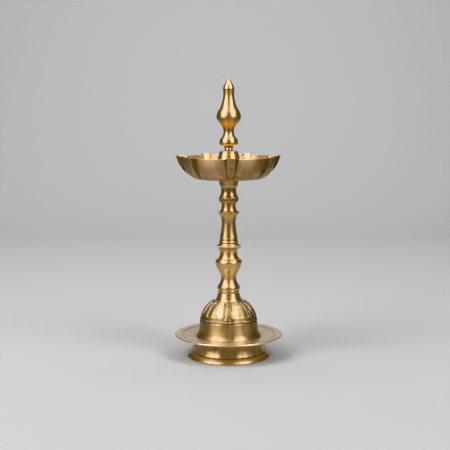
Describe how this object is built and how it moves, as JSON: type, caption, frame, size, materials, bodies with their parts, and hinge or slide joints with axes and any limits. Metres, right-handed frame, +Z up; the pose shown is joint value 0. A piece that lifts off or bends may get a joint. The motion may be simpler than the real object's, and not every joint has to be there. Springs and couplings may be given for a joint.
{
  "type": "standing oil lamp",
  "caption": "Brass standing oil lamp with a flared foot, drip plate, embossed dome, turned stem, shallow spouted oil bowl and spire finial; its sections unscrew.",
  "frame": {"origin": "on the lamp's axis, on the surface it stands on", "axes": "+Z up along the lamp's axis, -Y towards the front, +X to the right seen from the front"},
  "size_m": [0.094, 0.094, 0.2413],
  "materials": {
    "turned_brass": "turned and polished",
    "cast_brass": "cast, turned and polished",
    "bowl_brass": "cast and buffed",
    "plate_brass": "fine turned",
    "rod_brass": "threaded",
    "plated_steel": "zinc plated"
  },
  "bodies": {
    "base": {"foot": "cast_brass", "drip_plate": "plate_brass", "dome": "cast_brass", "base_rod": "rod_brass", "base_washer": "plated_steel", "base_nut": "plated_steel"},
    "neck_ring": {"neck_ring": "turned_brass"},
    "lower_baluster": {"lower_baluster": "turned_brass", "knop_stud": "rod_brass"},
    "knop_ring": {"knop_ring": "turned_brass"},
    "middle_column": {"middle_column": "turned_brass", "collar_stud": "rod_brass"},
    "collar_ring": {"collar_ring": "turned_brass"},
    "upper_collar": {"upper_collar": "turned_brass", "seat_stud": "rod_brass"},
    "seat_ring": {"seat_ring": "turned_brass"},
    "bowl": {"bowl_socket": "turned_brass", "bowl": "bowl_brass", "bowl_boss": "turned_brass", "finial_stud": "rod_brass"},
    "finial_ring": {"finial_ring": "turned_brass"},
    "finial": {"finial": "turned_brass"}
  },
  "joints": [
    {"name": "lower_baluster_turn", "type": "hinge", "parent": "base", "child": "neck_ring", "pos_m": [0, 0, 0.056], "axis": [0, 0, 1], "range_deg": [0, 2161]},
    {"name": "lower_baluster_rise", "type": "slide", "parent": "neck_ring", "child": "lower_baluster", "axis": [0, 0, 1], "range_m": [0, 0.0075]},
    {"name": "middle_column_turn", "type": "hinge", "parent": "lower_baluster", "child": "knop_ring", "pos_m": [0, 0, 0.091], "axis": [0, 0, 1], "range_deg": [0, 2161]},
    {"name": "middle_column_rise", "type": "slide", "parent": "knop_ring", "child": "middle_column", "axis": [0, 0, 1], "range_m": [0, 0.0075]},
    {"name": "upper_collar_turn", "type": "hinge", "parent": "middle_column", "child": "collar_ring", "pos_m": [0, 0, 0.134], "axis": [0, 0, 1], "range_deg": [0, 1441]},
    {"name": "upper_collar_rise", "type": "slide", "parent": "collar_ring", "child": "upper_collar", "axis": [0, 0, 1], "range_m": [0, 0.004]},
    {"name": "bowl_turn", "type": "hinge", "parent": "upper_collar", "child": "seat_ring", "pos_m": [0, 0, 0.1472], "axis": [0, 0, 1], "range_deg": [0, 1801]},
    {"name": "bowl_rise", "type": "slide", "parent": "seat_ring", "child": "bowl", "axis": [0, 0, 1], "range_m": [0, 0.005]},
    {"name": "finial_turn", "type": "hinge", "parent": "bowl", "child": "finial_ring", "pos_m": [0, 0, 0.1822], "axis": [0, 0, 1], "range_deg": [0, 3241]},
    {"name": "finial_rise", "type": "slide", "parent": "finial_ring", "child": "finial", "axis": [0, 0, 1], "range_m": [0, 0.0063]}
  ],
  "couplings": [
    {"joint": "lower_baluster_turn", "follows": "lower_baluster_rise", "rad_per_m": 5026.5},
    {"joint": "middle_column_turn", "follows": "middle_column_rise", "rad_per_m": 5026.5},
    {"joint": "upper_collar_turn", "follows": "upper_collar_rise", "rad_per_m": 6283.2},
    {"joint": "bowl_turn", "follows": "bowl_rise", "rad_per_m": 6283.2},
    {"joint": "finial_turn", "follows": "finial_rise", "rad_per_m": 8976}
  ]
}
